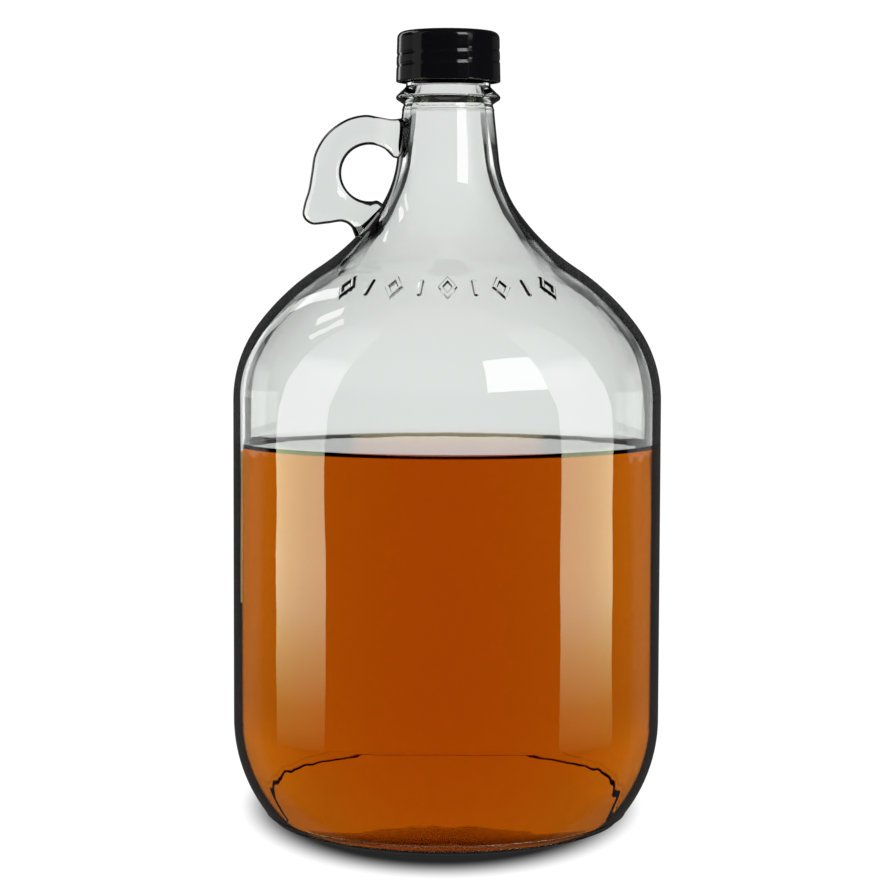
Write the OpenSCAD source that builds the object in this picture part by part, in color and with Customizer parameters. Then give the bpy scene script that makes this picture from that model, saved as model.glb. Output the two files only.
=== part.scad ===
// One-gallon glass jug (carboy) with a finger-ring handle, its screw cap, the liner
// inside the cap and the drink that it holds. Millimetres, +Z up. The origin is the
// centre of the base, on the surface that the jug stands on. The front is -Y and
// the handle is on the -X side.

/* [Body] */
// Outside diameter of the straight body
body_d = 164.5; // [160:0.5:168]
// Thickness of the glass in the body, shoulder and neck
wall_t = 3.5; // [3:0.1:3.9]
// Thickness of the glass in the bottom
base_t = 5.8; // [5:0.1:7]
// Height at which the heel's curve ends and the straight wall starts
heel_h = 40.7; // [39:0.1:44]
// Height at which the straight wall ends and the shoulder starts
shoulder_z = 164.5; // [155:0.5:175]
// Height of the dome pushed up under the base
pushup_h = 7; // [4:0.5:9]

/* [Neck and finish] */
// Diameter of the straight mouth, which takes a No. 6 stopper
mouth_d = 28.8; // [28:0.1:29.2]
// Height of the rim above the base
rim_z = 302.5; // [301.5:0.1:304]
// Radius at the root of the glass thread
root_r = 17.15; // [17:0.05:17.25]
// Radius at the crest of the glass thread
crest_r = 18.35; // [18.1:0.05:18.4]
// Thread pitch, six threads to the inch
pitch = 4.233; // [4.2:0.001:4.26]
// Turns of thread on the glass
glass_turns = 1.5; // [1.2:0.05:1.6]
// Radius at the tip of the transfer bead under the cap
bead_r = 20; // [19.5:0.1:20.5]

/* [Handle] */
// Radius of the finger hole
finger_r = 10.8; // [10:0.1:11.5]
// Thickness of the handle from front to back
handle_t = 10; // [8:0.5:11]

/* [Cap] */
// Outside radius of the cap's skirt at the top
cap_r = 19.6; // [19.5:0.05:20]
// Height of the cap's lower edge
cap_z = 286; // [285.5:0.1:286.5]
// Overall height of the cap
cap_h = 19.1; // [19:0.1:19.4]
// Thickness of the cap's top plate
cap_top_t = 1.2; // [1:0.1:1.3]
// Turns of thread inside the cap
cap_turns = 2; // [1.5:0.1:2]

/* [Contents] */
// Height of the surface of the drink
fill_z = 148.8; // [60:0.5:160]

/* [Hidden] */
$fn = 96;

body_r = body_d / 2;
mouth_r = mouth_d / 2;
wide = 400;          // larger than any part, for cutting shapes
arc_step = 3;        // degrees between the points of an outline's arc

// Each arc of the side is [radius, sweep]. A positive sweep turns inwards.
heel_arcs = [[58.5, 36.5], [17, 53.5]];
shoulder_arcs = [[48.8, 36.9], [91.2, 20], [82.9, -21.5], [41.6, -30.1]];

// The base: the flat ring that it stands on, and the dome inside it
land_in_r = 53;
neck_top = [17.3, 278.2];   // where the bead starts
bead_z = 280.1;             // height of the bead's tip
bead_tip_round = 1.1;
bead_tip_low = -58;         // angle of the bead's tip at which its under side starts
bead_tip_high = 44;         // and its upper side
throat_r = 16.2;            // the waist between the bead and the thread
throat_z = 284;
throat_soft_r = 0.6;        // how much wider the waist's foot is
throat_soft_z = 0.4;        // half the height over which it narrows
finish_z = 287.4;           // where the waist has widened to the thread's root
finish_soft_z = 1.2;        // height over which it widens
mouth_foot_z = 277.4;       // where the straight mouth ends and the neck's inside starts
rim_round = 1.3;
land_seal = 0.02;           // gap that parts pressed together keep

// Thread sections, as half widths at the root and the crest
glass_thread_root = 1.2;
glass_thread_crest = 0.5;
cap_thread_root = 0.8;
cap_thread_crest = 0.4;
thread_fade = 30;           // degrees over which a thread grows to its full height
thread_step = 10;           // degrees between a thread's sections
thread_sink = 0.5;          // how far a thread's foot is buried in its wall
thread_buried_end = 0.2;    // how deep its ends dive, as a share of its height
glass_thread_start = -270;  // where the glass thread starts, in degrees from the front
glass_thread_lead = 1.25;   // how many pitches lower it starts than it stands at the front
cap_thread_front_z = 297.2; // height of the cap's upper thread at the front
cap_bore_r = 18.6;          // inside the skirt, clear of the glass thread
cap_crest_r = 17.45;        // crest of the thread inside the cap
cap_flare = 0.4;            // how much wider the skirt is at its lower edge
cap_corner = 2.6;           // round of the cap's top edge
cap_lip = 0.5;              // round of the cap's lower edge
liner_r = 17.9;
liner_t = 1.36;

// Height by which the cap's thread lies under the flank of the glass thread
thread_gap = 1.515;

drink_gap = 0.05;           // between the drink and the glass

// Handle: where its outer edge and the hole's edge run, from the neck round to the
// shoulder. Each row is [outer x, outer z, angle about the hole, radius of the hole's edge].
hole_c = [-30.1, 251.4];
handle_rows = [
    [-16.6, 272.0, 22.7, 13.2], [-20.5, 271.9, 33, finger_r], [-26.0, 272.6, 62, finger_r],
    [-32.0, 273.5, 92, finger_r], [-39.5, 271.5, 118, finger_r], [-46.6, 266.2, 140, finger_r],
    [-51.0, 259.0, 160, finger_r], [-52.4, 251.5, 178, finger_r], [-53.5, 245.0, 195, finger_r],
    [-55.3, 239.0, 210, finger_r], [-55.6, 234.6, 222, finger_r], [-52.3, 231.7, 234, finger_r],
    [-46.5, 232.0, 246, finger_r], [-40.8, 232.7, 260, finger_r], [-37.4, 231.0, 275, finger_r],
    [-35.8, 227.5, 288, finger_r], [-34.7, 225.3, 299.2, 13.7]];
handle_steps = 3;           // sections between two rows
handle_outer_round = 3.2;
handle_inner_round = 1.8;

// Raised ornament round the front of the shoulder
mark_count = 9;
mark_pitch = 9.6;           // degrees between marks
mark_z = 208;
mark_r = 59.3;
mark_tilt = 46;             // slope of the shoulder there, from upright
mark_w = 6.6;
mark_h = 12;
mark_stroke = 1.5;
mark_side_stroke = 2.2;     // both strokes of a lozenge across its width, in strokes
mark_end_stroke = 4;        // and across its height, where they lie at a slant
bar_share = 0.72;           // height of a bar as a share of a lozenge's
mark_sink = 1.6;            // how deep a mark's foot is buried
mark_raise = 0.8;

// ---- Outlines ----

// Points [r, z, heading] along arcs that join smoothly. The heading is the angle from
// straight up towards the axis, and dir is 1 on the way up and -1 on the way down.
function walk(r, z, heading, arcs, dir, i = 0) =
    i == len(arcs) ? [] :
    let (rad = arcs[i][0], sweep = arcs[i][1], s = sign(sweep),
         n = ceil(abs(sweep) / arc_step),
         pts = [for (k = [1:n]) let (h = heading + sweep * k / n)
             [r - rad * s * (cos(heading) - cos(h)),
              z + dir * rad * s * (sin(h) - sin(heading)), h]],
         last = pts[n - 1])
    concat(pts, walk(last[0], last[1], last[2], arcs, dir, i + 1));

function reversed(v) = [for (i = [len(v) - 1:-1:0]) v[i]];
function plane(v) = [for (p = v) [p[0], p[1]]];

shoulder = concat([[body_r, shoulder_z, 0]], walk(body_r, shoulder_z, 0, shoulder_arcs, 1));
heel = concat([[body_r, heel_h, 0]], walk(body_r, heel_h, 0, heel_arcs, -1));
heel_end = heel[len(heel) - 1];
heel_foot = heel_end[1];    // level of the heel's lowest point, brought to z = 0 below

// Inside of the glass: the same curves, moved inwards by the wall
function inset_up(t) = [for (p = shoulder) [p[0] - t * cos(p[2]), p[1] - t * sin(p[2])]];
function base_wall(h, t) = t + (base_t - wall_t) * pow(h / 90, 2);
function inset_down(t) =
    [for (p = heel) [p[0] - base_wall(p[2], t) * cos(p[2]),
                     p[1] - heel_foot + base_wall(p[2], t) * sin(p[2])]];

// A dome on the axis, from its edge to its centre
function dome(edge_r, edge_z, top_z) =
    let (rise = top_z - edge_z, rad = (edge_r * edge_r + rise * rise) / (2 * rise), n = 12)
    [for (k = [1:n]) let (r = edge_r * (1 - k / n))
        [r, top_z - rad + sqrt(rad * rad - r * r)]];

function arc(c, rad, from, to, n) =
    [for (k = [0:n]) let (a = from + (to - from) * k / n) c + rad * [cos(a), sin(a)]];

outer_base = concat([[heel_end[0], 0], [land_in_r, 0]], dome(land_in_r, 0, pushup_h));
outer_side = concat([for (p = reversed(heel)) [p[0], p[1] - heel_foot]], plane(shoulder));
bead = concat([neck_top],
    arc([bead_r - bead_tip_round, bead_z], bead_tip_round, bead_tip_low, bead_tip_high, 8),
    [[throat_r + throat_soft_r, throat_z - throat_soft_z], [throat_r, throat_z + throat_soft_z]]);
finish = concat([[throat_r, finish_z - finish_soft_z], [root_r, finish_z]],
    arc([root_r - rim_round, rim_z - rim_round], rim_round, 0, 90, 6),
    arc([mouth_r + rim_round, rim_z - rim_round], rim_round, 90, 180, 6));

function cavity(t) =
    let (foot = inset_down(t), last = foot[len(foot) - 1])
    concat(reversed(inset_up(t)), foot,
           dome(last[0], last[1], pushup_h + base_t + t - wall_t));

glass_outline = concat(reversed(outer_base), outer_side, bead, finish,
    [[mouth_r, mouth_foot_z]], cavity(wall_t));

// ---- Shared shapes ----

// A closed solid through rings of points that all have the same count
module skin(rings) {
    n = len(rings[0]);
    m = len(rings);
    polyhedron(
        points = [for (ring = rings) each ring],
        faces = concat(
            [[for (i = [0:n - 1]) i]],
            [for (j = [0:m - 2], i = [0:n - 1]) let (k = (i + 1) % n)
                each [[j * n + i, (j + 1) * n + i, (j + 1) * n + k],
                      [j * n + i, (j + 1) * n + k, j * n + k]]],
            [[for (i = [n - 1:-1:0]) (m - 1) * n + i]]));
}

// A right-hand thread. Its section is a trapezium from foot_r to tip_r, with the given
// half widths there and its foot buried in the wall. It starts at height z, at an angle
// from the front, and its two ends fade into the wall.
module thread(foot_r, tip_r, foot_half, tip_half, start, z, turns) {
    span = turns * 360;
    rise = abs(tip_r - foot_r);
    out = sign(tip_r - foot_r);
    taper = (foot_half - tip_half) / rise;
    rings = [for (a = [0:thread_step:span])
        let (grow = min(1, min(a, span - a) / thread_fade - thread_buried_end),
             mid = z + pitch * a / 360,
             turn = start + a - 90)
        [for (p = [[-thread_sink, -1], [rise * grow, -1], [rise * grow, 1], [-thread_sink, 1]])
            let (r = foot_r + out * p[0])
            [r * cos(turn), r * sin(turn), mid + p[1] * (foot_half - p[0] * taper)]]];
    skin(out < 0 ? rings : [for (ring = rings) reversed(ring)]);
}

// ---- Glass jug ----

// Smooth curve through rows of numbers
function smooth(v, i, u) =
    let (a = v[max(i - 1, 0)], b = v[i], c = v[i + 1], d = v[min(i + 2, len(v) - 1)])
    0.5 * (2 * b + (c - a) * u + (2 * a - 5 * b + 4 * c - d) * u * u
           + (3 * b - a - 3 * c + d) * u * u * u);

// A section of the handle: a bar with round corners from the hole's edge to the outer edge
function handle_ring(row) =
    let (inner = hole_c + row[3] * [cos(row[2]), sin(row[2])], outer = [row[0], row[1]],
         w = norm(outer - inner), e = (outer - inner) / w, t = handle_t / 2,
         ro = handle_outer_round, ri = handle_inner_round,
         flat = concat(arc([w - ro, t - ro], ro, 0, 90, 4), arc([ri, t - ri], ri, 90, 180, 3),
                       arc([ri, ri - t], ri, 180, 270, 3), arc([w - ro, ro - t], ro, 270, 360, 4)))
    [for (p = flat) [inner[0] + e[0] * p[0], p[1], inner[1] + e[1] * p[0]]];

module handle() {
    last = len(handle_rows) - 1;
    rows = [for (i = [0:last - 1], k = [0:handle_steps - 1])
        smooth(handle_rows, i, k / handle_steps)];
    skin([for (row = concat(rows, [handle_rows[last]])) handle_ring(row)]);
}

// One raised mark, a lozenge frame or a bar, standing on the shoulder
module mark(i) {
    rotate([0, 0, (i - (mark_count - 1) / 2) * mark_pitch])
        translate([0, -mark_r, mark_z])
            rotate([90 - mark_tilt, 0, 0])
                translate([0, 0, -mark_sink])
                    linear_extrude(mark_sink + mark_raise)
                        if (i % 2 == 0)
                            difference() {
                                lozenge(mark_w, mark_h);
                                lozenge(mark_w - mark_side_stroke * mark_stroke,
                                        mark_h - mark_end_stroke * mark_stroke);
                            }
                        else
                            square([mark_stroke, mark_h * bar_share], center = true);
}

module lozenge(w, h) {
    polygon([[w / 2, 0], [0, h / 2], [-w / 2, 0], [0, -h / 2]]);
}

module glass_jug() color([0.80, 0.86, 0.84, 0.35]) {
    rotate_extrude() polygon(glass_outline);
    handle();
    thread(root_r, crest_r, glass_thread_root, glass_thread_crest,
           glass_thread_start, cap_thread_front_z + thread_gap - pitch * glass_thread_lead,
           glass_turns);
    for (i = [0:mark_count - 1]) mark(i);
}

// ---- Drink ----

module drink() color([0.75, 0.34, 0.03, 0.85])
    intersection() {
        rotate_extrude() polygon(concat([[0, wide], [mouth_r, wide]], cavity(wall_t + drink_gap)));
        translate([-wide / 2, -wide / 2, 0]) cube([wide, wide, fill_z]);
    }

// ---- Cap ----

cap_top = cap_z + cap_h;

module cap_liner() color("ivory")
    translate([0, 0, rim_z + land_seal]) cylinder(r = liner_r, h = liner_t);

module screw_cap() color([0.03, 0.03, 0.03]) {
    rotate_extrude() polygon(concat(
        [[0, cap_top]],
        reversed(arc([cap_r - cap_corner, cap_top - cap_corner], cap_corner, 0, 90, 8)),
        reversed(arc([cap_r + cap_flare - cap_lip, cap_z + cap_lip], cap_lip, -90, 0, 3)),
        [[cap_bore_r, cap_z], [cap_bore_r, cap_top - cap_top_t], [0, cap_top - cap_top_t]]));
    thread(cap_bore_r, cap_crest_r, cap_thread_root, cap_thread_crest,
           180 - 180 * cap_turns, cap_thread_front_z - pitch * cap_turns / 2, cap_turns);
}

glass_jug();
drink();
cap_liner();
screw_cap();
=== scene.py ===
"""The glass carboy's looks: clear jug, amber drink, black cap and its liner.

Lengths are in millimetres inside the shape functions and become metres in mesh_from().
The frame is the CAD's own: origin at the centre of the base, +Z up, front towards -Y.
"""

import math

import bmesh
import bpy
import numpy as np
from mathutils import Matrix, Vector


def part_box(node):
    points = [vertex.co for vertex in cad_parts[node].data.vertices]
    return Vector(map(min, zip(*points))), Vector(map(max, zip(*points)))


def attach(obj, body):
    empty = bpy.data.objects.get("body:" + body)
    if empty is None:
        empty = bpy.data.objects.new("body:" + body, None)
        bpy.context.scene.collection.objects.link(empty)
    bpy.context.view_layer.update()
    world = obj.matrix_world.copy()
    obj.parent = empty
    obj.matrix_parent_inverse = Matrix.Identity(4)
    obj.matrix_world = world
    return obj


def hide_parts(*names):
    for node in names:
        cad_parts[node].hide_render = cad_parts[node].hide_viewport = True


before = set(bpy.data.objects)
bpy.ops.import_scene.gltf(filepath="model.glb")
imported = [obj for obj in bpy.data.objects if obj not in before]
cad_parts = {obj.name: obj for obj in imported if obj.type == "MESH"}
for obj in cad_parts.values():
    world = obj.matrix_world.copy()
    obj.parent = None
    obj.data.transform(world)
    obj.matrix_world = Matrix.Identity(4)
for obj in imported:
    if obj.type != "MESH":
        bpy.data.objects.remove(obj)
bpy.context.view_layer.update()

MM = 0.001
SEGMENTS = 288
ARC_STEP = 1.2  # degrees between the points of an outline's arc
WALL_ROW = 5.0  # height between rows on the straight wall

# ---- Sizes shared with the CAD, read back from its boxes where they show there ----
_, JUG_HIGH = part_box("glass_jug")
CAP_LOW, CAP_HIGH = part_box("screw_cap")
_, DRINK_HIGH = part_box("drink")
LINER_LOW, LINER_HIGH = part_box("cap_liner")

BODY_R = JUG_HIGH.x / MM
RIM_Z = JUG_HIGH.z / MM
FILL_Z = DRINK_HIGH.z / MM
CAP_Z = CAP_LOW.z / MM
CAP_TOP = CAP_HIGH.z / MM
CAP_SKIRT_R = CAP_HIGH.x / MM
LINER_Z = LINER_LOW.z / MM
LINER_TOP = LINER_HIGH.z / MM
LINER_R = LINER_HIGH.x / MM

# The CAD's other sizes
WALL = 3.5
BASE_WALL = 5.8
HEEL_H = 40.7
SHOULDER_Z = 164.5
PUSHUP = 7.0
LAND_IN_R = 53.0
HEEL_ARCS = ((58.5, 36.5), (17.0, 53.5))
SHOULDER_ARCS = ((48.8, 36.9), (91.2, 20.0), (82.9, -21.5), (41.6, -30.1))
MOUTH_R = 14.4
ROOT_R = 17.15
CREST_R = 18.35
PITCH = 4.233
GLASS_TURNS = 1.5
CAP_TURNS = 2.0
THREAD_FRONT_Z = 297.2
THREAD_GAP = 1.515
CAP_BORE_R = 18.6
CAP_CREST_R = 17.45
CAP_WALL_R = 19.6


# ---- Outlines ----


def walk(r, z, heading, arcs, way):
    """Points (r, z, heading) along arcs that join smoothly; way is 1 for up and -1 for down."""
    out = []
    for radius, sweep in arcs:
        sign = math.copysign(1, sweep)
        count = max(1, math.ceil(abs(sweep) / ARC_STEP))
        r0, z0, h0 = r, z, heading
        for k in range(1, count + 1):
            h = h0 + sweep * k / count
            a, b = math.radians(h0), math.radians(h)
            r = r0 - radius * sign * (math.cos(a) - math.cos(b))
            z = z0 + way * radius * sign * (math.sin(b) - math.sin(a))
            out.append((r, z, h))
        heading = h0 + sweep
    return out


def arc(centre, radius, start, end, count):
    """Points on a circle from one angle to another, in degrees."""
    angles = [math.radians(start + (end - start) * k / count) for k in range(count + 1)]
    return [
        (centre[0] + radius * math.cos(a), centre[1] + radius * math.sin(a))
        for a in angles
    ]


def dome(edge_r, edge_z, top_z, count=24):
    """A shallow dome's points from just inside its edge to its centre."""
    rise = top_z - edge_z
    radius = (edge_r**2 + rise**2) / (2 * rise)
    rows = [edge_r * (1 - k / count) for k in range(1, count + 1)]
    return [(r, top_z - radius + math.sqrt(radius**2 - r**2)) for r in rows]


def straight(start, end, step):
    """Points between two ends, without them."""
    count = max(1, int(math.dist(start, end) / step))
    return [
        tuple(a + (b - a) * k / count for a, b in zip(start, end))
        for k in range(1, count)
    ]


def shoulder_rows():
    """The shoulder and neck's outside (r, z, heading), from the straight wall up."""
    return [(BODY_R, SHOULDER_Z, 0.0)] + walk(BODY_R, SHOULDER_Z, 0.0, SHOULDER_ARCS, 1)


def heel_rows():
    """The heel's outside (r, z, heading), from the straight wall down to the table."""
    rows = [(BODY_R, HEEL_H, 0.0)] + walk(BODY_R, HEEL_H, 0.0, HEEL_ARCS, -1)
    foot_z = rows[-1][1]
    return [(r, z - foot_z, h) for r, z, h in rows]


SHOULDER = shoulder_rows()
HEEL = heel_rows()
NECK_TOP = (17.3, 278.2)  # where the bead starts
NECK_ROW = 2.0  # height between rows under the bead
BEAD_FOOT = (NECK_TOP[0] + 0.5, NECK_TOP[1] - 1.0)  # centre of the small hollow under the bead
BEAD_FOOT_ROUND = 0.7
BEAD_R = 20.0
BEAD_Z = 280.1
BEAD_ROUND = 1.1
BEAD_TIP = (-58, 44)  # angles between which the bead's tip is round
THROAT_R = 16.2
THROAT_Z = 284.0
THROAT_ROUND = 0.9
THROAT_FOOT = (THROAT_R + THROAT_ROUND, THROAT_Z + 0.6)  # centre of the hollow over the bead
FINISH_ROWS = ((THROAT_R, 286.2), (ROOT_R - 0.1, 287.2), (ROOT_R, 287.6))
RIM_ROUND = 1.3
MOUTH_FOOT_Z = 277.4  # where the straight mouth ends


def cavity(extra=0.0):
    """The inside of the glass, from the neck down to the middle of the floor, moved in by extra."""
    wall = WALL + extra
    up = [
        (r - wall * math.cos(math.radians(h)), z - wall * math.sin(math.radians(h)))
        for r, z, h in SHOULDER
    ]
    down = []
    for r, z, h in HEEL:
        t = wall + (BASE_WALL - WALL) * (h / 90) ** 2
        down.append(
            (r - t * math.cos(math.radians(h)), z + t * math.sin(math.radians(h)))
        )
    wall_rows = straight(up[0], down[0], WALL_ROW)
    return up[::-1] + wall_rows + down + dome(*down[-1], PUSHUP + BASE_WALL + extra)


def jug_outline():
    """The glass's section: from under its middle up the outside, and back down the inside."""
    base = [(HEEL[-1][0], 0.0), (LAND_IN_R, 0.0)] + dome(LAND_IN_R, 0.0, PUSHUP)
    heel = [(r, z) for r, z, _ in HEEL[::-1]][1:]
    shoulder = [(r, z) for r, z, _ in SHOULDER]
    wall = straight(heel[-1], shoulder[0], WALL_ROW)
    bead = (
        straight(shoulder[-1], NECK_TOP, NECK_ROW)
        + arc(BEAD_FOOT, BEAD_FOOT_ROUND, 170, 120, 3)
        + arc((BEAD_R - BEAD_ROUND, BEAD_Z), BEAD_ROUND, *BEAD_TIP, 12)
        + arc(THROAT_FOOT, THROAT_ROUND, 230, 180, 5)
    )
    rim_z = RIM_Z - RIM_ROUND
    finish = (
        list(FINISH_ROWS)
        + arc((ROOT_R - RIM_ROUND, rim_z), RIM_ROUND, 0, 90, 8)
        + arc((MOUTH_R + RIM_ROUND, rim_z), RIM_ROUND, 90, 180, 8)
    )
    inside = [(MOUTH_R, MOUTH_FOOT_Z)] + cavity()
    return base[::-1] + heel[:-1] + wall + shoulder + bead + finish + inside


# ---- Mesh building ----


def mesh_from(name, verts, faces):
    """A mesh object from points in millimetres."""
    mesh = bpy.data.meshes.new(name)
    mesh.from_pydata([[c * MM for c in v] for v in verts], [], faces)
    mesh.validate()
    tidy = bmesh.new()
    tidy.from_mesh(mesh)
    bmesh.ops.recalc_face_normals(tidy, faces=tidy.faces)
    tidy.to_mesh(mesh)
    tidy.free()
    obj = bpy.data.objects.new(name, mesh)
    bpy.context.scene.collection.objects.link(obj)
    return obj


ON_AXIS = 1e-6  # a row nearer the axis than this is one point


def lathe(name, outline, segments=SEGMENTS, bend=None):
    """Turns a closed outline of (r, z) about Z; bend(r, angle, z) may change a point's radius."""
    verts, rows = [], []
    for r, z in outline:
        if r < ON_AXIS:
            rows.append([len(verts)])
            verts.append((0.0, 0.0, z))
            continue
        rows.append(list(range(len(verts), len(verts) + segments)))
        for i in range(segments):
            a = 2 * math.pi * i / segments
            rr = bend(r, a, z) if bend else r
            verts.append((rr * math.cos(a), rr * math.sin(a), z))
    faces = []
    pairs = list(zip(rows, rows[1:]))
    if len(rows[0]) > 1:
        pairs.append((rows[-1], rows[0]))
    for low, high in pairs:
        for i in range(segments):
            k = (i + 1) % segments
            if len(low) == 1 and len(high) == 1:
                break
            if len(low) == 1:
                faces.append((low[0], high[k], high[i]))
            elif len(high) == 1:
                faces.append((low[i], low[k], high[0]))
            else:
                faces.append((low[i], low[k], high[k], high[i]))
    return mesh_from(name, verts, faces)


def skin(name, rings):
    """A closed solid through rings of points that all have the same count."""
    count = len(rings[0])
    verts = [p for ring in rings for p in ring]
    faces = [tuple(range(count))[::-1]]
    for j in range(len(rings) - 1):
        for i in range(count):
            k = (i + 1) % count
            low, high = j * count, (j + 1) * count
            faces.append((low + i, low + k, high + k, high + i))
    faces.append(tuple(range((len(rings) - 1) * count, len(rings) * count)))
    return mesh_from(name, verts, faces)


def union(base, tools):
    """Merges the tools into the base as one closed surface and removes them."""
    for tool in tools:
        cut = base.modifiers.new("union", "BOOLEAN")
        cut.operation = "UNION"
        cut.solver = "MANIFOLD"
        cut.object = tool
    graph = bpy.context.evaluated_depsgraph_get()
    merged = bpy.data.meshes.new_from_object(base.evaluated_get(graph))
    base.modifiers.clear()
    base.data = merged
    for tool in tools:
        bpy.data.objects.remove(tool)
    return base


def smooth(obj, angle):
    """Smooth shading that keeps edges sharper than angle."""
    obj.data.shade_smooth()
    obj.data.set_sharp_from_angle(angle=math.radians(angle))


# ---- Jug ----


THREAD_STEP = 3  # degrees between a thread's sections
THREAD_POINTS = 13  # points across a section
THREAD_FADE = 30  # degrees over which a thread grows to its full height
THREAD_BURIED_END = 0.2  # how deep its ends dive, as a share of its height
THREAD_SINK = 0.5  # how far its foot is buried in its wall
THREAD_CREST = 2.6  # how full its rounded section is; 2 is an ellipse
THREAD_FLANK = 0.86  # narrows that section to the flanks of the CAD's
GLASS_THREAD = (1.2, 0.5)  # half widths at the root and the crest
GLASS_THREAD_START = -270
GLASS_THREAD_LEAD = 1.25  # how many pitches lower it starts than it stands at the front
CAP_THREAD = (0.8, 0.4)


def thread(name, foot_r, tip_r, halves, start, z, turns):
    """A right-hand thread with rounded crests; start is its angle from the front, in degrees."""
    foot_half, tip_half = halves
    span = turns * 360
    out = math.copysign(1, tip_r - foot_r)
    rise = abs(tip_r - foot_r)
    rings = []
    for a in np.arange(0, span + 0.1, THREAD_STEP):
        grow = min(1.0, min(a, span - a) / THREAD_FADE - THREAD_BURIED_END)
        mid = z + PITCH * a / 360
        turn = math.radians(start + a - 90)
        ring = []
        for share in np.linspace(-1, 1, THREAD_POINTS):
            depth = math.sqrt(max(0.0, 1 - abs(share) ** THREAD_CREST))
            height = rise * grow * depth - THREAD_SINK * (1 - depth)
            width = (foot_half + (foot_half - tip_half)) * share * THREAD_FLANK
            r = foot_r + out * height
            ring.append((r * math.cos(turn), r * math.sin(turn), mid + width))
        rings.append(ring)
    return skin(name, rings)


HOLE = (-30.1, 251.4)
FINGER_R = 10.8
HANDLE_T = 10.0
# Outer x and z, angle about the hole, radius of the hole's edge, and thickness front to back
HANDLE_ROWS = (
    (-14.6, 273.2, 22.7, 15.0, 15.0),
    (-20.5, 271.9, 33, 10.9, 11.6),
    (-26.0, 272.6, 62, FINGER_R, 10.2),
    (-32.0, 273.5, 92, FINGER_R, HANDLE_T),
    (-39.5, 271.5, 118, FINGER_R, HANDLE_T),
    (-46.6, 266.2, 140, FINGER_R, HANDLE_T),
    (-51.0, 259.0, 160, FINGER_R, HANDLE_T),
    (-52.4, 251.5, 178, FINGER_R, HANDLE_T),
    (-53.5, 245.0, 195, FINGER_R, HANDLE_T),
    (-55.3, 239.0, 210, FINGER_R, HANDLE_T),
    (-55.6, 234.6, 222, FINGER_R, HANDLE_T),
    (-52.3, 231.7, 234, FINGER_R, HANDLE_T),
    (-46.5, 232.0, 246, FINGER_R, HANDLE_T),
    (-40.8, 232.7, 260, FINGER_R, 10.4),
    (-37.4, 231.0, 275, FINGER_R, 11.4),
    (-35.8, 227.5, 288, 11.2, 13.0),
    (-34.3, 223.8, 299.2, 15.2, 15.5),
)
HANDLE_STEPS = 8  # sections between two rows
HANDLE_POINTS = 40
HANDLE_CORNER = 0.66  # 1 makes the bar's section an ellipse, and less makes it squarer


def spline(rows, i, u):
    """A smooth curve through rows of numbers."""
    a = np.array(rows[max(i - 1, 0)], float)
    b = np.array(rows[i], float)
    c = np.array(rows[i + 1], float)
    d = np.array(rows[min(i + 2, len(rows) - 1)], float)
    return 0.5 * (
        2 * b
        + (c - a) * u
        + (2 * a - 5 * b + 4 * c - d) * u * u
        + (3 * b - a - 3 * c + d) * u**3
    )


def handle_ring(row):
    """A section of the handle: a soft-cornered bar from the hole's edge to the outer edge."""
    angle = math.radians(row[2])
    inner = np.array(HOLE) + row[3] * np.array([math.cos(angle), math.sin(angle)])
    outer = np.array(row[:2])
    width = np.linalg.norm(outer - inner)
    along = (outer - inner) / width
    half = row[4] / 2
    ring = []
    for k in range(HANDLE_POINTS):
        a = 2 * math.pi * k / HANDLE_POINTS
        c, s = math.cos(a), math.sin(a)
        u = width / 2 * (1 + math.copysign(abs(c) ** HANDLE_CORNER, c))
        v = half * math.copysign(abs(s) ** HANDLE_CORNER, s)
        ring.append((inner[0] + along[0] * u, v, inner[1] + along[1] * u))
    return ring


def handle():
    """The ring handle, from the neck round the finger hole to the shoulder."""
    last = len(HANDLE_ROWS) - 1
    steps = [(i, k / HANDLE_STEPS) for i in range(last) for k in range(HANDLE_STEPS)]
    rows = [spline(HANDLE_ROWS, i, u) for i, u in steps]
    rows.append(np.array(HANDLE_ROWS[last], float))
    return skin("handle", [handle_ring(row) for row in rows])


# Raised marks round the front of the shoulder, the same row as in the CAD
MARK_COUNT = 9
MARK_PITCH = 9.6
MARK_Z = 208.0
MARK_W = 6.6
MARK_H = 12.0
MARK_STROKE = 1.5
MARK_RAISE = 0.8
MARK_MARGIN = 1.2  # how far a mark's relief reaches past the mark
MARK_SOFT = 0.55  # width over which a stroke's edge rises, and how steeply it does
MARK_STEEP = 3.2
MARK_DIP = 0.12  # how far the relief lies under the glass where nothing is raised
MARK_BURIED = 1.4  # depth of its underside
MARK_COLUMNS = 44
MARK_ROWS = 72
BAR_SHARE = 0.72  # height of a bar as a share of a lozenge's


def shoulder_at(along):
    """(r, z, slope) of the shoulder's outline at a distance up the slope from the marks' middle."""
    pts = np.array([(r, z) for r, z, _ in SHOULDER])
    run = np.concatenate([[0], np.cumsum(np.hypot(*np.diff(pts, axis=0).T))])
    middle = np.interp(MARK_Z, pts[:, 1], run)
    s = middle + along
    heading = np.interp(s, run, [h for _, _, h in SHOULDER])
    return np.interp(s, run, pts[:, 0]), np.interp(s, run, pts[:, 1]), heading


def lozenge_distance(u, v):
    """Distance from the middle of a lozenge frame's stroke."""
    w, h = MARK_W / 2 - MARK_STROKE / 2, MARK_H / 2 - MARK_STROKE
    slope = math.hypot(w, h)
    return abs((abs(u) * h + abs(v) * w - w * h) / slope)


def bar_distance(u, v):
    """Distance from a short upright bar's middle line."""
    half = MARK_H * BAR_SHARE / 2 - MARK_STROKE / 2
    return math.hypot(u, max(0.0, abs(v) - half))


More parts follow.
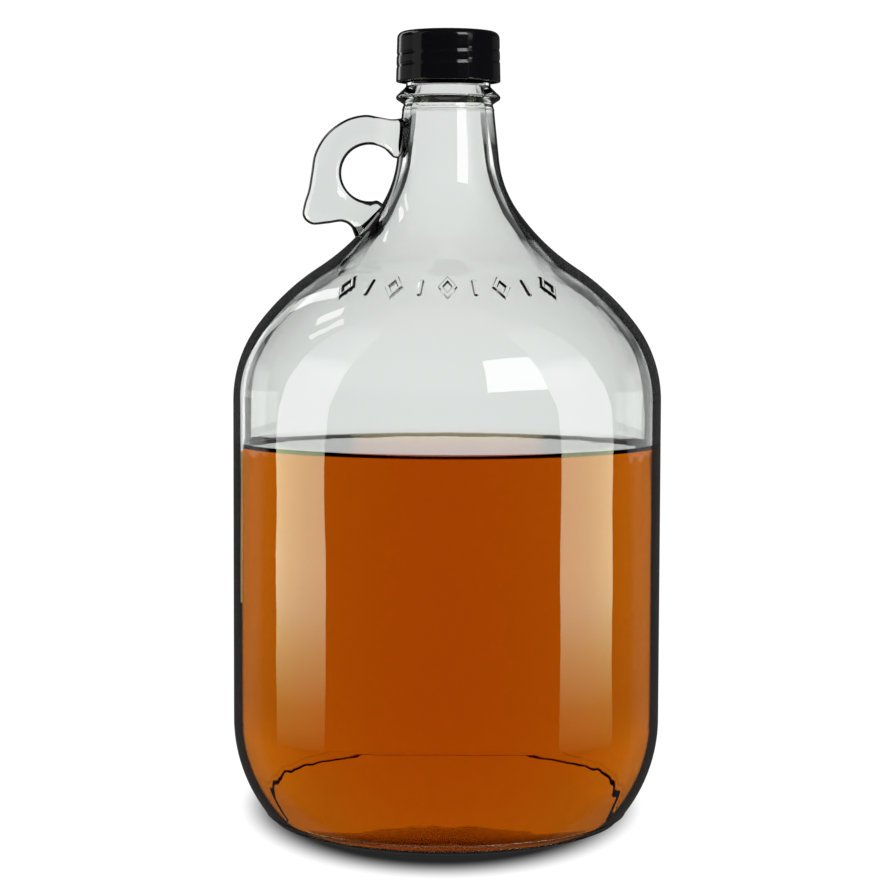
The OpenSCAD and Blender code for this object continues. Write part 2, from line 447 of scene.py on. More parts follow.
def mark(i):
    """A raised mark as a soft relief on the shoulder: only what rises above the glass shows."""
    centre = math.radians((i - (MARK_COUNT - 1) / 2) * MARK_PITCH - 90)
    distance = lozenge_distance if i % 2 == 0 else bar_distance
    cols, rows = MARK_COLUMNS, MARK_ROWS
    reach_u, reach_v = MARK_W / 2 + MARK_MARGIN, MARK_H / 2 + MARK_MARGIN
    top, bottom = [], []
    for b in range(rows + 1):
        v = reach_v * (2 * b / rows - 1)
        r, z, heading = shoulder_at(v)
        h = math.radians(heading)
        for a in range(cols + 1):
            u = reach_u * (2 * a / cols - 1)
            edge = (MARK_STROKE / 2 - distance(u, v)) / MARK_SOFT
            lift = MARK_RAISE * (1 / (1 + math.exp(-MARK_STEEP * edge))) - MARK_DIP
            turn = centre + u / r
            for pts, out in ((top, lift), (bottom, -MARK_BURIED)):
                rr = r + out * math.cos(h)
                pts.append((rr * math.cos(turn), rr * math.sin(turn), z + out * math.sin(h)))
    n = len(top)
    wide = cols + 1
    faces = []
    for b in range(rows):
        for a in range(cols):
            q = b * wide + a
            faces.append((q, q + 1, q + wide + 1, q + wide))
            faces.append((n + q, n + q + wide, n + q + wide + 1, n + q + 1))
    loop = (
        list(range(wide))
        + [b * wide + cols for b in range(1, rows + 1)]
        + [rows * wide + a for a in range(cols - 1, -1, -1)]
        + [b * wide for b in range(rows - 1, 0, -1)]
    )
    for p, q in zip(loop, loop[1:] + loop[:1]):
        faces.append((p, n + p, n + q, q))
    return mesh_from(f"mark_{i}", top + bottom, faces)


# The mould's seams round the neck and the heel: height, and radius of the bead
NECK_SEAM = (275.4, 0.35)
HEEL_SEAMS = ((5.6, 0.45), (3.0, 0.4))
SEAM_SINK = 0.2  # how far a seam's middle lies under the surface
WAVE_Z = 20.5  # the settle wave inside the heel
WAVE_BEAD = 0.7
# How high the wave stands against how far back it is; 0 is at the sides and 1 at the back,
# and below a height of 0 it is buried in the glass
WAVE_HEIGHTS = ((0.5, -0.1), (0.68, 0.05), (0.88, 0.09), (0.96, 0.6))
STEP_R = 46.5  # the step round the pushed-up middle of the underside
STEP_BEAD = 0.7
STEP_RISE = 0.1


def bead_section(r, z, radius):
    """A bead's round section, with a point every 15 degrees."""
    return arc((r, z), radius, 0, 345, 23)


def seam(z, bead, rows):
    """A seam of the mould, half sunk in the outside of the glass; rows go up the outside."""
    r = float(np.interp(z, [row[1] for row in rows], [row[0] for row in rows]))
    return lathe("seam", bead_section(r - SEAM_SINK, z, bead))


def settle_wave():
    """A low wave inside the heel, at the back, where the glass settled in the mould."""
    low = [p for p in cavity()[::-1] if p[1] < SHOULDER_Z]
    edge = [p for p in low if p[0] > LAND_IN_R]
    r = float(np.interp(WAVE_Z, [p[1] for p in edge], [p[0] for p in edge]))

    def sink(r, angle, z):
        return r - float(np.interp(math.sin(angle), *zip(*WAVE_HEIGHTS)))

    return lathe("settle_wave", bead_section(r + WAVE_BEAD, WAVE_Z, WAVE_BEAD), bend=sink)


def base_step():
    """A low ring on the underside, between the stand ring and the pushed-up middle."""
    dome_r = (LAND_IN_R**2 + PUSHUP**2) / (2 * PUSHUP)
    z = PUSHUP - dome_r + math.sqrt(dome_r**2 - STEP_R**2)
    return lathe("base_step", bead_section(STEP_R, z + STEP_RISE, STEP_BEAD))


def build_jug():
    """The whole glass moulding as one closed surface."""
    jug = lathe("jug_glass", jug_outline())
    tools = [seam(z, bead, HEEL[::-1]) for z, bead in HEEL_SEAMS]
    tools += [seam(*NECK_SEAM, [*SHOULDER, NECK_TOP]), settle_wave(), base_step()]
    start_z = THREAD_FRONT_Z + THREAD_GAP - PITCH * GLASS_THREAD_LEAD
    tools += [
        thread(
            "jug_thread",
            ROOT_R,
            CREST_R,
            GLASS_THREAD,
            GLASS_THREAD_START,
            start_z,
            GLASS_TURNS,
        ),
        handle(),
    ]
    tools += [mark(i) for i in range(MARK_COUNT)]
    union(jug, tools)
    smooth(jug, 35)
    return jug


# ---- Drink ----

DRINK_OVERLAP = 0.1  # the drink reaches this far into the glass, so that no air shows between
DRINK_EDGE = 0.2  # inside rows nearer the surface than this are left out
MENISCUS = 1.8  # how far the drink climbs the glass at its edge
MENISCUS_REACH = 0.8
SURFACE_ROWS = 40


def build_drink():
    """The drink follows the inside of the glass and climbs it a little at its edge."""
    inside = [p for p in cavity(-DRINK_OVERLAP) if p[1] < FILL_Z - DRINK_EDGE]
    wall_r = inside[0][0]
    surface = [(0.0, FILL_Z - MENISCUS)]
    for k in range(1, SURFACE_ROWS):
        r = wall_r * (k / SURFACE_ROWS) ** 0.5
        climb = 1 - math.exp(-(wall_r - r) / MENISCUS_REACH)
        surface.append((r, FILL_Z - MENISCUS * climb))
    surface.append((wall_r, FILL_Z))
    drink = lathe("drink_body", surface + inside)
    smooth(drink, 40)
    return drink


# ---- Cap ----

# The sink marks over the thread: depth, half width, and turns from the front at their ends
SINK_DEPTH = 0.22
SINK_HALF = 0.55
SINK_FROM = -1.35
SINK_TO = 0.45
SINK_END = 0.08  # turns over which an end fades
CAP_SEGMENTS = 256
CAP_CORNER = 2.6
CAP_LIP = 0.5
CAP_TOP_T = 1.2
CAP_WALL_ROW = 0.2  # height between rows of the outside wall, close enough for the sink marks
CAP_ROW = 2.0
CAP_BORE_ROW = 1.0


def cap_bend(r, angle, z):
    """Shallow sink marks outside the skirt, over the thread inside it."""
    if r <= CAP_BORE_R:
        return r
    turn = (math.degrees(angle) + 90) / 360 % 1.0
    depth = 0.0
    for k in (-1, 0, 1, 2):
        along = k + turn - 1
        end = min(along - SINK_FROM, SINK_TO - along) / SINK_END
        deep = max(0.0, min(1.0, end))
        mark_z = THREAD_FRONT_Z + PITCH * along
        depth = max(depth, deep * math.exp(-(((z - mark_z) / SINK_HALF) ** 2)))
    return r - SINK_DEPTH * depth


def build_cap():
    """The hollow cap with its inside thread."""
    corner_r, corner_z = CAP_WALL_R - CAP_CORNER, CAP_TOP - CAP_CORNER
    wall_low = (CAP_SKIRT_R, CAP_Z + CAP_LIP)
    ceiling = CAP_TOP - CAP_TOP_T
    outline = (
        [(0.0, CAP_TOP)]
        + straight((0.0, CAP_TOP), (corner_r, CAP_TOP), CAP_ROW)
        + arc((corner_r, corner_z), CAP_CORNER, 90, 0, 14)
        + straight((CAP_WALL_R, corner_z), wall_low, CAP_WALL_ROW)
        + arc((CAP_SKIRT_R - CAP_LIP, CAP_Z + CAP_LIP), CAP_LIP, 0, -90, 6)
        + [(CAP_BORE_R, CAP_Z)]
        + straight((CAP_BORE_R, CAP_Z), (CAP_BORE_R, ceiling), CAP_BORE_ROW)
        + [(CAP_BORE_R, ceiling), (0.0, ceiling)]
    )
    cap = lathe("cap_shell", outline, CAP_SEGMENTS, cap_bend)
    start, start_z = 180 - 180 * CAP_TURNS, THREAD_FRONT_Z - PITCH * CAP_TURNS / 2
    inner = thread(
        "cap_thread", CAP_BORE_R, CAP_CREST_R, CAP_THREAD, start, start_z, CAP_TURNS
    )
    union(cap, [inner])
    smooth(cap, 30)
    return cap


LINER_SOFT = 0.35
LINER_SEGMENTS = 128


def build_liner():
    """A foam disc with soft edges."""
    edge_r = LINER_R - LINER_SOFT
    outline = [(0.0, LINER_Z)]
    outline += arc((edge_r, LINER_Z + LINER_SOFT), LINER_SOFT, -90, 0, 5)
    outline += arc((edge_r, LINER_TOP - LINER_SOFT), LINER_SOFT, 0, 90, 5)
    outline += [(0.0, LINER_TOP)]
    liner = lathe("liner_disc", outline, LINER_SEGMENTS)
    smooth(liner, 40)
    return liner


# ---- Materials ----


def new_material(name):
    """A material with its nodes, links and shader."""
    mat = bpy.data.materials.new(name)
    mat.use_nodes = True
    nodes, links = mat.node_tree.nodes, mat.node_tree.links
    return mat, nodes, links, nodes["Principled BSDF"]


def bump(nodes, links, shader, scale, strength, distance):
    """Fine procedural relief from object-space noise."""
    coords = nodes.new("ShaderNodeTexCoord")
    noise = nodes.new("ShaderNodeTexNoise")
    noise.inputs["Scale"].default_value = scale
    noise.inputs["Detail"].default_value = 3.0
    links.new(coords.outputs["Object"], noise.inputs["Vector"])
    height = nodes.new("ShaderNodeBump")
    height.inputs["Strength"].default_value = strength
    height.inputs["Distance"].default_value = distance
    links.new(noise.outputs["Fac"], height.inputs["Height"])
    links.new(height.outputs["Normal"], shader.inputs["Normal"])


def math_node(nodes, links, operation, a, b):
    """A maths node; each input is a number or another node's output."""
    node = nodes.new("ShaderNodeMath")
    node.operation = operation
    for socket, value in zip(node.inputs, (a, b)):
        if isinstance(value, (int, float)):
            socket.default_value = value
        else:
            links.new(value, socket)
    return node.outputs["Value"]


def map_node(nodes, links, value, start, end, low, high):
    """Maps start..end onto low..high, held at both ends."""
    node = nodes.new("ShaderNodeMapRange")
    for name, number in (
        ("From Min", start),
        ("From Max", end),
        ("To Min", low),
        ("To Max", high),
    ):
        node.inputs[name].default_value = number
    links.new(value, node.inputs["Value"])
    return node.outputs["Result"]


def object_axes(nodes, links):
    """The object-space coordinates as a vector and as separate x, y and z."""
    coords = nodes.new("ShaderNodeTexCoord")
    split = nodes.new("ShaderNodeSeparateXYZ")
    links.new(coords.outputs["Object"], split.inputs["Vector"])
    return coords.outputs["Object"], split.outputs


def noise_node(nodes, links, vector, scale, stretch, detail=2.0):
    """Noise whose features are stretched upwards by a factor."""
    scaled = nodes.new("ShaderNodeVectorMath")
    scaled.operation = "MULTIPLY"
    scaled.inputs[1].default_value = (1, 1, 1 / stretch)
    links.new(vector, scaled.inputs[0])
    noise = nodes.new("ShaderNodeTexNoise")
    noise.inputs["Scale"].default_value = scale
    noise.inputs["Detail"].default_value = detail
    links.new(scaled.outputs["Vector"], noise.inputs["Vector"])
    return noise.outputs["Fac"]


def relief(nodes, links, shader, height, distance):
    """Feeds a height into the shader's normal; distance is the relief for a height of 1."""
    node = nodes.new("ShaderNodeBump")
    node.inputs["Strength"].default_value = 1.0
    node.inputs["Distance"].default_value = distance
    links.new(height, node.inputs["Height"])
    links.new(node.outputs["Normal"], shader.inputs["Normal"])


# The glass's relief. Rows here and below are a start and an end, and the values held before
# and after them; the places are metres in the part's frame.
WAVE_SCALE = 48
WAVE_STRETCH = 5.0  # how much taller than wide the waves are
RELIEF_DEPTH = 0.00026
GRAIN_SCALE = 620
GRAIN_BY_HEIGHT = (0.238, 0.250, 0.0, 0.03)
STIPPLE_SCALE = 300
STIPPLE_BY_HEIGHT = (0.0015, 0.005, 0.25, 0.0)

# Painted shade: the glass's colour darkens where it is seen almost edge on, a dark outline drawn
# into the glass rather than mirrored: share towards the edge, and colour
RIM_SHADE_START = (0.695, (0.98, 0.99, 0.985, 1))
RIM_SHADE_END = (0.725, (0.0006, 0.0006, 0.0006, 1))

# Painted shade on the handle: its glass is coloured grey, and its painted dark rim starts earlier
# towards its edges, so that the bar looks thick
HANDLE_BY_X = (-0.0245, -0.0285, 0.0, 1.0)
HANDLE_RIM_BY_HEIGHT = (0.226, 0.230, 0.0, 0.39)
HANDLE_TONE = 0.45  # share of the grey for each unit of the rim's shift
HANDLE_SHADE_GREY = (0.55, 0.57, 0.565, 1)

# Painted shade: the neck's sides are coloured dark, standing in for its thick wall mirroring the
# dark studio inside
NECK_START_BY_HEIGHT = (0.242, 0.270, 0.60, 0.435)  # share towards the edge where that starts
NECK_SOFT = (0.0, 0.025, 0.0, 1.0)
NECK_FOOT = (0.212, 0.226, 0.0, 1.0)
NECK_FADE = (0.262, 0.274, 1.0, 0.78)
NECK_END = (0.2735, 0.2755, 1.0, 0.0)
NECK_SHADE_TONE = (0.002, 0.002, 0.002, 1)


def glass_relief(nodes, links, vector, axes):
    """Slow upright waves all over, fine grain on the neck and a stippled stand ring."""
    waves = noise_node(nodes, links, vector, WAVE_SCALE, WAVE_STRETCH)
    grain = noise_node(nodes, links, vector, GRAIN_SCALE, 1.0)
    stipple = noise_node(nodes, links, vector, STIPPLE_SCALE, 1.0, 0.5)
    on_neck = map_node(nodes, links, axes["Z"], *GRAIN_BY_HEIGHT)
    on_base = map_node(nodes, links, axes["Z"], *STIPPLE_BY_HEIGHT)
    fine = math_node(nodes, links, "MULTIPLY", grain, on_neck)
    rough = math_node(nodes, links, "MULTIPLY", stipple, on_base)
    both = math_node(nodes, links, "ADD", fine, rough)
    return math_node(nodes, links, "ADD", waves, both)


def neck_side_shade(nodes, links, axes, facing):
    """How far the painted shade darkens the neck's side, strongest from the shoulder to the middle
    of the neck.
    """
    start = map_node(nodes, links, axes["Z"], *NECK_START_BY_HEIGHT)
    past = math_node(nodes, links, "SUBTRACT", facing, start)
    side = map_node(nodes, links, past, *NECK_SOFT)
    for rows in (NECK_FOOT, NECK_FADE, NECK_END):
        share = map_node(nodes, links, axes["Z"], *rows)
        side = math_node(nodes, links, "MULTIPLY", side, share)
    return side


def multiply_tone(nodes, links, colour, share, tone):
    """A colour multiplied by a tone as far as a share says."""
    mix = nodes.new("ShaderNodeMix")
    mix.data_type = "RGBA"
    mix.blend_type = "MULTIPLY"
    mix.inputs["B"].default_value = tone
    links.new(share, mix.inputs["Factor"])
    links.new(colour, mix.inputs["A"])
    return mix.outputs["Result"]


def absorbing(mat, nodes, links, colour, density):
    """Fills a material's pieces with clear matter that absorbs light."""
    absorb = nodes.new("ShaderNodeVolumeAbsorption")
    absorb.inputs["Color"].default_value = colour
    absorb.inputs["Density"].default_value = density
    links.new(absorb.outputs["Volume"], nodes["Material Output"].inputs["Volume"])
    return mat


def glass_material():
    """Clear glass with a painted dark rim, and painted shade that makes the handle and the neck's
    sides look thicker.
    """
    mat, nodes, links, shader = new_material("clear_glass")
    vector, axes = object_axes(nodes, links)
    relief(nodes, links, shader, glass_relief(nodes, links, vector, axes), RELIEF_DEPTH)
    shader.inputs["Roughness"].default_value = 0.0
    shader.inputs["IOR"].default_value = 1.5
    shader.inputs["Transmission Weight"].default_value = 1.0
    # The painted dark rim: the glass's colour by how edge on it is seen
    layer = nodes.new("ShaderNodeLayerWeight")
    layer.inputs["Blend"].default_value = 0.5
    facing = layer.outputs["Facing"]
    rim = nodes.new("ShaderNodeValToRGB")
    for point, (position, colour) in zip(rim.color_ramp.elements, (RIM_SHADE_START, RIM_SHADE_END)):
        point.position = position
        point.color = colour
    left = map_node(nodes, links, axes["X"], *HANDLE_BY_X)
    high = map_node(nodes, links, axes["Z"], *HANDLE_RIM_BY_HEIGHT)
    on_handle = math_node(nodes, links, "MULTIPLY", left, high)
    edge = math_node(nodes, links, "ADD", facing, on_handle)
    links.new(edge, rim.inputs["Fac"])
    # Painted shade: the handle's colour is multiplied towards grey
    handle_shade = math_node(nodes, links, "MULTIPLY", on_handle, HANDLE_TONE)
    colour = multiply_tone(nodes, links, rim.outputs["Color"], handle_shade, HANDLE_SHADE_GREY)
    # Painted shade on the neck's sides
    side = neck_side_shade(nodes, links, axes, facing)
    colour = multiply_tone(nodes, links, colour, side, NECK_SHADE_TONE)
    links.new(colour, shader.inputs["Base Color"])
    return absorbing(mat, nodes, links, colour=(0.81, 0.83, 0.815, 1), density=108)


def drink_material():
    """Clear amber liquid; its faint upright streaks blur what is seen through it."""
    mat, nodes, links, shader = new_material("amber_drink")
    shader.inputs["Base Color"].default_value = (1, 1, 1, 1)
    shader.inputs["Roughness"].default_value = 0.0
    shader.inputs["IOR"].default_value = 1.34
    shader.inputs["Transmission Weight"].default_value = 1.0
    shader.inputs["Specular Tint"].default_value = (0.5, 0.5, 0.5, 1)
    vector, _ = object_axes(nodes, links)
    streaks = noise_node(nodes, links, vector, scale=70, stretch=9.0)
    relief(nodes, links, shader, streaks, distance=0.0001)
    return absorbing(mat, nodes, links, colour=(0.927, 0.71, 0.2, 1), density=57)


def cap_material():
    """Glossy black plastic with a faint moulded grain."""
    mat, nodes, links, shader = new_material("black_plastic")
    shader.inputs["Base Color"].default_value = (0.0025, 0.0025, 0.003, 1)
    shader.inputs["Roughness"].default_value = 0.08
    shader.inputs["IOR"].default_value = 1.5
    shader.inputs["Specular IOR Level"].default_value = 0.5
    bump(nodes, links, shader, scale=900, strength=0.12, distance=0.0001)
    return mat


def liner_material():
    """White foam with fine pores."""
    mat, nodes, links, shader = new_material("white_foam")
    shader.inputs["Base Color"].default_value = (0.86, 0.85, 0.81, 1)
    shader.inputs["Roughness"].default_value = 0.75
    bump(nodes, links, shader, scale=2600, strength=0.4, distance=0.0002)
    return mat


# ---- Studio ----

# The camera: metres, degrees downwards and about its own axis, and millimetres of lens
CAMERA_BACK = 0.98414
CAMERA_HEIGHT = 0.21379
CAMERA_PITCH = 3.93
CAMERA_ROLL = 0.2
CAMERA_LENS = 102.83


def build_camera():
    """The camera, level with the shoulder and looking slightly down."""
    data = bpy.data.cameras.new("camera")
    data.lens = CAMERA_LENS
    data.sensor_width = 36
    data.dof.use_dof = False
    cam = bpy.data.objects.new("camera", data)
    bpy.context.scene.collection.objects.link(cam)
    cam.location = (0, -CAMERA_BACK, CAMERA_HEIGHT)
    turn = Matrix.Rotation(math.radians(90 - CAMERA_PITCH), 4, "X")
    roll = Matrix.Rotation(math.radians(CAMERA_ROLL), 4, "Z")
    cam.rotation_mode = "QUATERNION"
    cam.rotation_quaternion = (turn @ roll).to_quaternion()
    bpy.context.scene.camera = cam


def glow_material(name, strength, colours=None):
    """A light's material; colours are (height, colour) rows from the foot up."""
    mat = bpy.data.materials.new(name)
    mat.use_nodes = True
    nodes, links = mat.node_tree.nodes, mat.node_tree.links
    nodes.clear()
    glow = nodes.new("ShaderNodeEmission")
    out = nodes.new("ShaderNodeOutputMaterial")
    links.new(glow.outputs["Emission"], out.inputs["Surface"])
    glow.inputs["Strength"].default_value = strength
    if colours:
        _, axes = object_axes(nodes, links)
        low, high = colours[0][0], colours[-1][0]
        share = map_node(nodes, links, axes["Z"], low, high, 0.0, 1.0)
        ramp = nodes.new("ShaderNodeValToRGB")
        points = ramp.color_ramp.elements
        while len(points) < len(colours):
            points.new(0.5)
        for point, (height, colour) in zip(points, colours):
            point.position = (height - low) / (high - low)
            point.color = (*colour, 1)
        links.new(share, ramp.inputs["Fac"])
        links.new(ramp.outputs["Color"], glow.inputs["Color"])
    return mat


def panel(name, corners, faces, material):
    """A glowing or black sheet that shows only in reflections."""
    mesh = bpy.data.meshes.new(name)
    mesh.from_pydata([tuple(c) for c in corners], [], faces)
    mesh.materials.append(material)
    sheet = bpy.data.objects.new(name, mesh)
    bpy.context.scene.collection.objects.link(sheet)
    sheet.visible_camera = False
    sheet.visible_transmission = False
    sheet.visible_shadow = False
    return sheet


def flat_direction(azimuth):
    """A level direction; azimuth 0 is towards the camera and 90 is on its right, in degrees."""
    a = math.radians(azimuth)
    return Vector((math.sin(a), -math.cos(a), 0))


def softbox(name, azimuth, distance, low, high, width, material):
    """An upright panel that faces the jug's axis."""
    across = flat_direction(azimuth + 90) * width / 2
    foot = flat_direction(azimuth) * distance + Vector((0, 0, low))
    rise = Vector((0, 0, high - low))
    corners = (foot - across, foot + across, foot + across + rise, foot - across + rise)
    return panel(name, corners, [(0, 1, 2, 3)], material)


STREAK_FROM = Vector((-0.055, -0.045, 0.19))  # the part of the shoulder that mirrors the streaks
STREAK_FAR = 1.2


def streak(name, start, end, width, strength, tint=(1.0, 1.0, 1.0)):
    """A narrow far panel between two directions (azimuth, elevation), all in degrees."""
    ends = []
    for azimuth, elevation in (start, end):
        e = math.radians(elevation)
        ends.append(flat_direction(azimuth) * math.cos(e) + Vector((0, 0, math.sin(e))))
    side = (ends[1] - ends[0]).cross(ends[0]).normalized() * math.radians(width) / 2
    directions = (ends[0] - side, ends[0] + side, ends[1] + side, ends[1] - side)
    corners = [STREAK_FROM + d * STREAK_FAR for d in directions]
    glow = glow_material(name, strength, ((0.0, tint), (1.0, tint)))
    return panel(name, corners, [(0, 1, 2, 3)], glow)


# How bright the studio's white backdrop and floor are at each angle away from straight behind
# the jug, in degrees. The camera sees plain white instead of all of these.
# What has mirrored inside the glass sees a studio with dark sides and a dark front:
BACKDROP_LOW = ((0, 1.0), (18, 1.0), (38, 1.30), (60, 1.30), (66, 0.05), (90, 0.01))
BACKDROP_HIGH = (
    (0, 1.0),
    (22, 1.0),
    (36, 0.40),
    (55, 0.15),
    (66, 0.03),
    (90, 0.01),
    (110, 0.5),
)
FLOOR_BEHIND = (
    (0, 1.0),
    (18, 1.0),
    (38, 1.30),
    (46, 1.30),
    (47, 0.55),
    (52, 0.55),
    (53, 1.35),
    (60, 1.30),
)
FLOOR = (*FLOOR_BEHIND, (66, 0.05), (90, 0.01))
# What has only passed through sees one that is bright all round:
BACKDROP_OPEN_LOW = ((0, 1.0), (18, 1.0), (38, 1.30), (60, 1.30), (75, 1.0))
BACKDROP_OPEN_HIGH = ((0, 1.0), (75, 1.0))
FLOOR_OPEN = (*FLOOR_BEHIND, (75, 1.0))
BACKDROP_TURN = (0.15, 0.25)  # rise of the sight line over which the low turns into the high
BACKDROP_MIRRORED = 0.055  # how much of it shows in the outside's own reflections
CAMERA_WHITE = 1.05


def level_by_angle(nodes, links, direction, levels):
    """A node output with the brightness in a direction, or at a place on the floor."""
    split = nodes.new("ShaderNodeSeparateXYZ")
    links.new(direction, split.inputs["Vector"])
    side = math_node(nodes, links, "ABSOLUTE", split.outputs["X"], 0.0)
    angle = math_node(nodes, links, "ARCTAN2", side, split.outputs["Y"])
    share = math_node(nodes, links, "DIVIDE", angle, math.pi)
    ramp = nodes.new("ShaderNodeValToRGB")
    points = ramp.color_ramp.elements
    top = max(level for _, level in levels)
    while len(points) < len(levels):
        points.new(0.5)
    for point, (degrees, level) in zip(points, levels):
        point.position = degrees / 180
        point.color = (level / top, level / top, level / top, 1)
    links.new(share, ramp.inputs["Fac"])
    return math_node(nodes, links, "MULTIPLY", ramp.outputs["Color"], top)


def blend(nodes, links, share, low, high):
    """A number that goes from low to high as share goes from 0 to 1."""
    pick = nodes.new("ShaderNodeMix")
    pick.data_type = "FLOAT"
    for socket, value in (("Factor", share), ("A", low), ("B", high)):
        if isinstance(value, float):
            pick.inputs[socket].default_value = value
        else:
            links.new(value, pick.inputs[socket])
    return pick.outputs["Result"]


def ray_kind(nodes, name):
    """What the renderer says about the kind of ray, or how often it has been mirrored."""
    return nodes.new("ShaderNodeLightPath").outputs[name]


def for_camera(nodes, links, level, seen):
    """A node output that is seen for camera rays and level for all others."""
    return blend(nodes, links, ray_kind(nodes, "Is Camera Ray"), level, seen)


def open_level(nodes, links, direction, levels, opened):
    """The level in a direction, dark at the sides only for what has mirrored inside the glass."""
    depth = ray_kind(nodes, "Glossy Depth")
    mirrored = map_node(nodes, links, depth, 0, 1, 0.0, 1.0)
    clear = level_by_angle(nodes, links, direction, opened)
    dark = level_by_angle(nodes, links, direction, levels)
    return blend(nodes, links, mirrored, clear, dark)


def build_world():
    """Plain white for the camera, and the backdrop by direction for everything else."""
    world = bpy.data.worlds.new("studio")
    bpy.context.scene.world = world
    world.use_nodes = True
    nodes, links = world.node_tree.nodes, world.node_tree.links
    nodes.clear()
    aim = nodes.new("ShaderNodeTexCoord").outputs["Generated"]
    split = nodes.new("ShaderNodeSeparateXYZ")
    links.new(aim, split.inputs["Vector"])
    rise = map_node(nodes, links, split.outputs["Z"], *BACKDROP_TURN, 0.0, 1.0)
    low = open_level(nodes, links, aim, BACKDROP_LOW, BACKDROP_OPEN_LOW)
    high = open_level(nodes, links, aim, BACKDROP_HIGH, BACKDROP_OPEN_HIGH)
    level = blend(nodes, links, rise, low, high)
    reflected = ray_kind(nodes, "Is Reflection Ray")
    outside = map_node(nodes, links, reflected, 0, 1, 1.0, BACKDROP_MIRRORED)
    dim = math_node(nodes, links, "MULTIPLY", level, outside)
    back = nodes.new("ShaderNodeBackground")
    out = nodes.new("ShaderNodeOutputWorld")
    back.inputs["Color"].default_value = (1, 1, 1, 1)
    links.new(for_camera(nodes, links, dim, CAMERA_WHITE), back.inputs["Strength"])
    links.new(back.outputs["Background"], out.inputs["Surface"])


FLOOR_REACH = 2.05
FLOOR_DROP = 0.0002  # how far it lies under the jug, so that the two don't touch
FLOOR_INSIDE = 0.12  # how much of the floor shows after a reflection inside the glass
# The contact shadow: its middle, its width as a share of its depth, and the radii between
# which it fades
SHADOW_X = -0.0018
SHADOW_Y = 0.0467
SHADOW_SQUEEZE = 0.5715
SHADOW_CORE = 0.1148
SHADOW_EDGE = 0.1459
SHADOW_DARK = 0.02


def contact_shadow(nodes, links, axes):
    """The floor's brightness for the camera: dark close round the jug, white further out."""
    shifted = math_node(nodes, links, "ADD", axes["X"], -SHADOW_X)
    across = math_node(nodes, links, "DIVIDE", shifted, SHADOW_SQUEEZE)
    ahead = math_node(nodes, links, "ADD", axes["Y"], -SHADOW_Y)
    across_sq = math_node(nodes, links, "MULTIPLY", across, across)
    ahead_sq = math_node(nodes, links, "MULTIPLY", ahead, ahead)
    both = math_node(nodes, links, "ADD", across_sq, ahead_sq)
    away = math_node(nodes, links, "SQRT", both, 0.0)
    shade = nodes.new("ShaderNodeMapRange")
    shade.interpolation_type = "SMOOTHSTEP"
    shade.inputs["From Min"].default_value = SHADOW_CORE
    shade.inputs["From Max"].default_value = SHADOW_EDGE
    shade.inputs["To Min"].default_value = SHADOW_DARK
    shade.inputs["To Max"].default_value = CAMERA_WHITE
    links.new(away, shade.inputs["Value"])
    return shade.outputs["Result"]


def build_floor():
    """A pale glowing floor: shaded under the jug for the camera, and by angle for the glass."""
    turns = [math.radians(a) for a in range(0, 360, 5)]
    edge = [(FLOOR_REACH * math.cos(a), FLOOR_REACH * math.sin(a), 0) for a in turns]
    mesh = bpy.data.meshes.new("floor")
    mesh.from_pydata(edge, [], [tuple(range(len(edge)))])
    floor = bpy.data.objects.new("floor", mesh)
    bpy.context.scene.collection.objects.link(floor)
    floor.location.z = -FLOOR_DROP
    floor.visible_glossy = False
    mat = bpy.data.materials.new("floor")
    mat.use_nodes = True
    nodes, links = mat.node_tree.nodes, mat.node_tree.links
    nodes.clear()
    vector, axes = object_axes(nodes, links)
    level = open_level(nodes, links, vector, FLOOR, FLOOR_OPEN)
    depth = ray_kind(nodes, "Glossy Depth")
    inside = map_node(nodes, links, depth, 0, 1, 1.0, FLOOR_INSIDE)
    lit = math_node(nodes, links, "MULTIPLY", level, inside)
    shadow = contact_shadow(nodes, links, axes)
    glow = nodes.new("ShaderNodeEmission")
    out = nodes.new("ShaderNodeOutputMaterial")
    links.new(for_camera(nodes, links, lit, shadow), glow.inputs["Strength"])
    links.new(glow.outputs["Emission"], out.inputs["Surface"])
    mesh.materials.append(mat)


# The strip lights: warm and bright where the drink mirrors them, plain above that and
# fading towards both ends. Each row is a height and the colour there.
STRIP_FOOT = -0.004
STRIP_TOP = 0.60
STRIP_GLOW = (
    (STRIP_FOOT, (0.0, 0.0, 0.0)),
    (0.023, (0.19, 0.20, 0.06)),
    (0.049, (0.47, 0.57, 0.28)),
    (0.067, (0.70, 0.83, 0.52)),
    (0.085, (0.85, 0.95, 0.59)),
    (0.135, (0.88, 1.0, 0.61)),
    (0.137, (0.47, 0.47, 0.47)),
    (0.27, (0.45, 0.45, 0.45)),
    (0.315, (0.15, 0.15, 0.15)),
    (0.48, (0.12, 0.12, 0.12)),
    (STRIP_TOP, (0.0, 0.0, 0.0)),
)
STRIP_STRENGTH = 6.8
STRIP_AWAY = 0.25
# How far the strips lean in towards the camera: height and degrees about the jug's axis
STRIP_LEAN = (
    (STRIP_FOOT, 0),
    (0.138, 0),
    (0.146, 0.8),
    (0.155, 2.0),
    (0.170, 3.5),
    (0.190, 4.8),
    (0.240, 7.0),
    (0.330, 9.0),
    (STRIP_TOP, 10.0),
)


def strip_light(name, azimuth, distance, width, material):
    """A tall strip light, upright at the foot and leaning in above."""
    verts = []
    for height, lean in STRIP_LEAN:
        leaned = azimuth - math.copysign(lean, azimuth)
        across = flat_direction(leaned + 90) * width / 2
        middle = flat_direction(leaned) * distance + Vector((0, 0, height))
        verts += [middle - across, middle + across]
    faces = [(2 * k, 2 * k + 1, 2 * k + 3, 2 * k + 2) for k in range(len(STRIP_LEAN) - 1)]
    return panel(name, verts, faces, material)


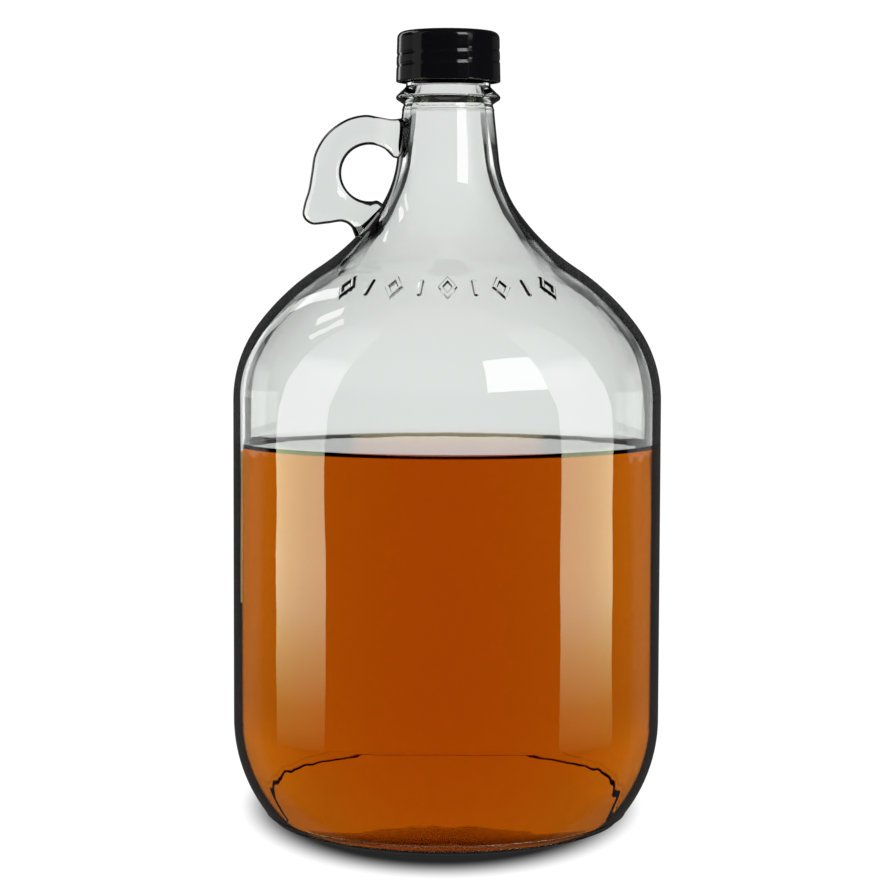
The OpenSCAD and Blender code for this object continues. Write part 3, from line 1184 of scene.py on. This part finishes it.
# The cards that stand beside the cap: distance from the axis, foot and top
CARD_AWAY = 0.06
CARD_FOOT = 0.255
CARD_TOP = 0.345


def build_lights():
    """Lights and cards, placed by azimuth and size; the streaks by azimuth and elevation."""
    strip = glow_material("strip", STRIP_STRENGTH, STRIP_GLOW)
    strip_light("strip_left", -72.26, STRIP_AWAY, 0.1407, strip)
    strip_light("strip_right", 68.78, STRIP_AWAY, 0.1437, strip)
    square = glow_material("square", 6.0)
    softbox("square_right", 39, distance=4.0, low=1.09, high=3.55, width=2.54, material=square)
    fill = glow_material("fill", 0.22)
    softbox("fill_left", -96, distance=0.6, low=0.19, high=0.42, width=0.75, material=fill)
    flag = glow_material("flag", 0.0)
    card = glow_material("card", 0.35)
    softbox("flag_right", 61.0, CARD_AWAY, CARD_FOOT, CARD_TOP, 0.030, flag)
    softbox("flag_cap", 43.2, distance=0.0625, low=0.288, high=0.307, width=0.0095, material=flag)
    softbox("flag_left", -45.8, CARD_AWAY, CARD_FOOT, CARD_TOP, 0.0164, flag)
    softbox("card_left", -64.3, CARD_AWAY, CARD_FOOT, CARD_TOP, 0.0227, card)
    streak("streak_edge", (-141, -5.9), (-145, 28), 7, 2.2)
    streak("streak_foot", (-143, -12), (-143, -6.0), 3.5, 1.1, (1.0, 0.72, 0.35))
    streak("streak_top", (-145, 28), (-133, 50), 5, 3.5)
    streak("streak_veil", (-133, -2), (-133, 18), 14, 0.7)
    streak("streak_low", (-116, 44), (-113, 54), 4, 4.0)
    streak("streak_mid", (-104, 38), (-102, 54), 4, 3.5)


# ---- Assembly ----


def place(piece, material, body, node):
    """Gives a piece its material, and its place in the part."""
    piece.data.materials.clear()
    piece.data.materials.append(material)
    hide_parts(node)
    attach(piece, body)


place(build_jug(), glass_material(), "jug", "glass_jug")
place(build_drink(), drink_material(), "jug", "drink")
place(build_cap(), cap_material(), "cap", "screw_cap")
place(build_liner(), liner_material(), "seal", "cap_liner")

build_camera()
build_world()
build_floor()
build_lights()
bpy.context.scene.view_settings.view_transform = "Standard"

bpy.context.view_layer.update()
